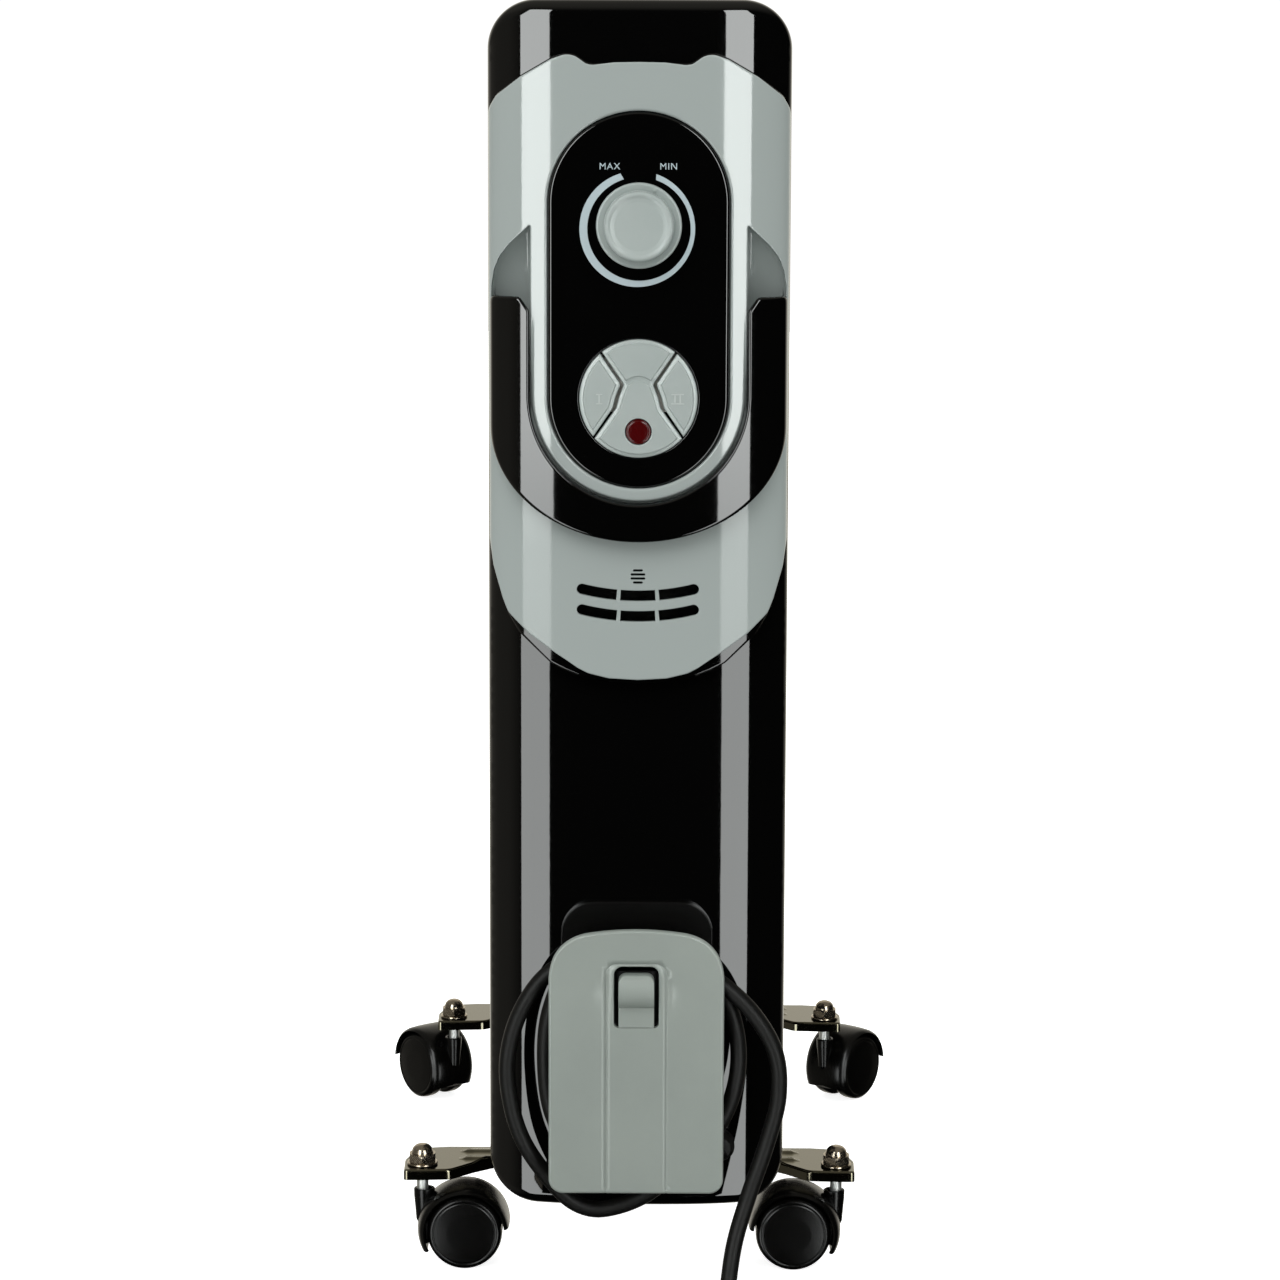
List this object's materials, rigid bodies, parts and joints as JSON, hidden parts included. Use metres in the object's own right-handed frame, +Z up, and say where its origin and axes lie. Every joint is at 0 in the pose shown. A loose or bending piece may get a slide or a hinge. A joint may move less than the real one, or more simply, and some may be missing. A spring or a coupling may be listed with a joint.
{
  "type": "oil filled radiator heater",
  "caption": "Tall narrow oil filled electric radiator with finned body, glossy front control cover, carry handle, cord winder and swivel casters.",
  "frame": {"origin": "on the floor, under the middle of the heater without its cord", "axes": "+Z up, the control cover faces -Y, +X is the right side seen from the front"},
  "size_m": [0.2954, 0.5091, 0.642],
  "materials": {
    "painted_fin": "glossy black powder coat",
    "cover_black": "high gloss black paint, slight clear depth",
    "gloss_black": "polished black plastic",
    "face_grey": "glossy blue grey plastic",
    "knob_grey": "satin light grey plastic",
    "plate_grey": "satin grey plastic with soft edges",
    "satin_black": "satin black plastic",
    "red_lens": "clear dark red lens",
    "white_plastic": "ivory switch plastic",
    "zinc": "bright zinc plate",
    "black_nickel": "dark nickel plate, olive brown tint",
    "nickel": "polished nickel",
    "cord_rubber": "matt black rubber"
  },
  "bodies": {
    "radiator": {"fin_1": "painted_fin", "fin_2": "painted_fin", "fin_3": "painted_fin", "fin_4": "painted_fin", "fin_5": "painted_fin", "fin_6": "painted_fin", "fin_7": "painted_fin", "fin_8": "painted_fin", "fin_9": "painted_fin", "front_cover": "cover_black", "control_housing": "gloss_black", "faceplate": "face_grey", "carry_handle": "gloss_black", "control_panel": "gloss_black", "thermostat_body": "white_plastic", "button_bezel": "knob_grey", "power_switches": "white_plastic", "indicator_lamp": "red_lens", "terminal_block": "white_plastic", "thermal_cutout": "zinc", "heating_element": "zinc", "winder_plate": "plate_grey", "winder_core": "satin_black", "cord_gland": "cord_rubber", "cord_run": "cord_rubber", "cord_coil": "cord_rubber", "cord_plug": "cord_rubber", "front_foot": "black_nickel", "rear_foot": "black_nickel", "front_foot_bolt": "zinc", "rear_foot_bolt": "zinc", "front_left_cap_nut": "nickel", "front_left_stem": "zinc", "front_right_cap_nut": "nickel", "front_right_stem": "zinc", "rear_left_cap_nut": "nickel", "rear_left_stem": "zinc", "rear_right_cap_nut": "nickel", "rear_right_stem": "zinc"},
    "knob": {"thermostat_knob": "knob_grey", "thermostat_shaft": "zinc"},
    "left_button": {"button_1": "knob_grey"},
    "right_button": {"button_2": "knob_grey"},
    "clip": {"winder_clip": "plate_grey"},
    "front_left_swivel": {"front_left_hood": "satin_black"},
    "front_left_wheels": {"front_left_axle": "zinc", "front_left_wheel_a": "satin_black", "front_left_wheel_b": "satin_black"},
    "front_right_swivel": {"front_right_hood": "satin_black"},
    "front_right_wheels": {"front_right_axle": "zinc", "front_right_wheel_a": "satin_black", "front_right_wheel_b": "satin_black"},
    "rear_left_swivel": {"rear_left_hood": "satin_black"},
    "rear_left_wheels": {"rear_left_axle": "zinc", "rear_left_wheel_a": "satin_black", "rear_left_wheel_b": "satin_black"},
    "rear_right_swivel": {"rear_right_hood": "satin_black"},
    "rear_right_wheels": {"rear_right_axle": "zinc", "rear_right_wheel_a": "satin_black", "rear_right_wheel_b": "satin_black"}
  },
  "joints": [
    {"name": "knob_turn", "type": "hinge", "parent": "radiator", "child": "knob", "pos_m": [0, -0.19763, 0.536], "axis": [0, 1, 0], "range_deg": [0, 319]},
    {"name": "button_1_press", "type": "slide", "parent": "radiator", "child": "left_button", "axis": [0, 1, 0], "range_m": [0, 0.003], "stiffness_N_per_m": 400, "springref_m": -0.001},
    {"name": "button_2_press", "type": "slide", "parent": "radiator", "child": "right_button", "axis": [0, 1, 0], "range_m": [0, 0.003], "stiffness_N_per_m": 400, "springref_m": -0.001},
    {"name": "clip_flex", "type": "hinge", "parent": "radiator", "child": "clip", "pos_m": [0, -0.20128, 0.1507], "axis": [1, 0, 0], "range_deg": [0, 6], "stiffness_Nm_per_rad": 0.5, "springref_deg": -1.15},
    {"name": "front_left_swivel_turn", "type": "hinge", "parent": "radiator", "child": "front_left_swivel", "pos_m": [-0.1098, -0.11063, 0.039], "axis": [0, 0, 1], "continuous": true},
    {"name": "front_left_wheel_roll", "type": "hinge", "parent": "front_left_swivel", "child": "front_left_wheels", "pos_m": [-0.0878, -0.11063, 0.0192], "axis": [0, 1, 0], "continuous": true},
    {"name": "front_right_swivel_turn", "type": "hinge", "parent": "radiator", "child": "front_right_swivel", "pos_m": [0.1022, -0.11063, 0.039], "axis": [0, 0, 1], "continuous": true},
    {"name": "front_right_wheel_roll", "type": "hinge", "parent": "front_right_swivel", "child": "front_right_wheels", "pos_m": [0.0802, -0.11063, 0.0192], "axis": [0, -1, 0], "continuous": true},
    {"name": "rear_left_swivel_turn", "type": "hinge", "parent": "radiator", "child": "rear_left_swivel", "pos_m": [-0.1095, 0.16237, 0.039], "axis": [0, 0, 1], "continuous": true},
    {"name": "rear_left_wheel_roll", "type": "hinge", "parent": "rear_left_swivel", "child": "rear_left_wheels", "pos_m": [-0.12305, 0.17971, 0.0192], "axis": [-0.788, -0.6157, 0], "continuous": true},
    {"name": "rear_right_swivel_turn", "type": "hinge", "parent": "radiator", "child": "rear_right_swivel", "pos_m": [0.1095, 0.16237, 0.039], "axis": [0, 0, 1], "continuous": true},
    {"name": "rear_right_wheel_roll", "type": "hinge", "parent": "rear_right_swivel", "child": "rear_right_wheels", "pos_m": [0.12305, 0.17971, 0.0192], "axis": [-0.788, 0.6157, 0], "continuous": true}
  ]
}
